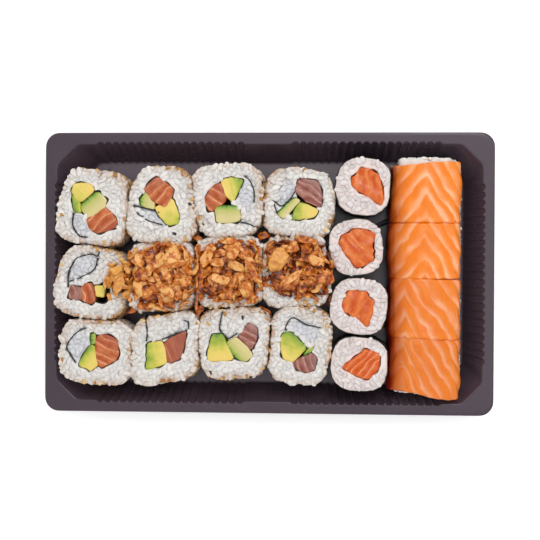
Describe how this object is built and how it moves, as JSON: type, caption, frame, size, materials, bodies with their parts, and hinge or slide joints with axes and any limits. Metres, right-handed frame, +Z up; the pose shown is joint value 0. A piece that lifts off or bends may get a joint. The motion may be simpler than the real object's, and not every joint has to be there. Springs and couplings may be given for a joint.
{
  "type": "takeaway sushi tray",
  "caption": "Black fluted takeaway tray filled with inside-out rolls, thin seaweed rolls, salmon-topped rolls and heaped fried onion.",
  "frame": {"origin": "middle of the tray's flat underside", "axes": "+X along the tray's long side towards the salmon rolls, +Y across it, +Z up out of the tray"},
  "size_m": [0.24, 0.15, 0.0386],
  "materials": {
    "black_plastic": "thin thermoformed sheet, satin gloss",
    "sushi_rice": "moist pressed grains, soft sheen",
    "seaweed": "dry roasted sheet, dark green black",
    "raw_salmon": "wet flesh with pale lines of fat",
    "fried_onion": "crisp oily flakes",
    "avocado": "soft buttery flesh, greener at its rim",
    "cucumber": "wet pale flesh with a dark green skin",
    "raw_tuna": "wet dull pink flesh",
    "sesame": "toasted seeds, some of them black"
  },
  "bodies": {
    "root": {"tray": "black_plastic", "uramaki_01": "sushi_rice", "uramaki_02": "sushi_rice", "uramaki_03": "sushi_rice", "uramaki_04": "sushi_rice", "uramaki_05": "sushi_rice", "uramaki_06": "sushi_rice", "uramaki_07": "sushi_rice", "uramaki_08": "sushi_rice", "uramaki_09": "sushi_rice", "uramaki_10": "sushi_rice", "uramaki_11": "sushi_rice", "uramaki_12": "sushi_rice", "hosomaki_1": "seaweed", "hosomaki_2": "seaweed", "hosomaki_3": "seaweed", "hosomaki_4": "seaweed", "salmon_roll_1": "raw_salmon", "salmon_roll_2": "raw_salmon", "salmon_roll_3": "raw_salmon", "salmon_roll_4": "raw_salmon", "fried_onion_1": "fried_onion", "fried_onion_2": "fried_onion", "fried_onion_3": "fried_onion", "fried_onion_4": "fried_onion"}
  },
  "joints": []
}
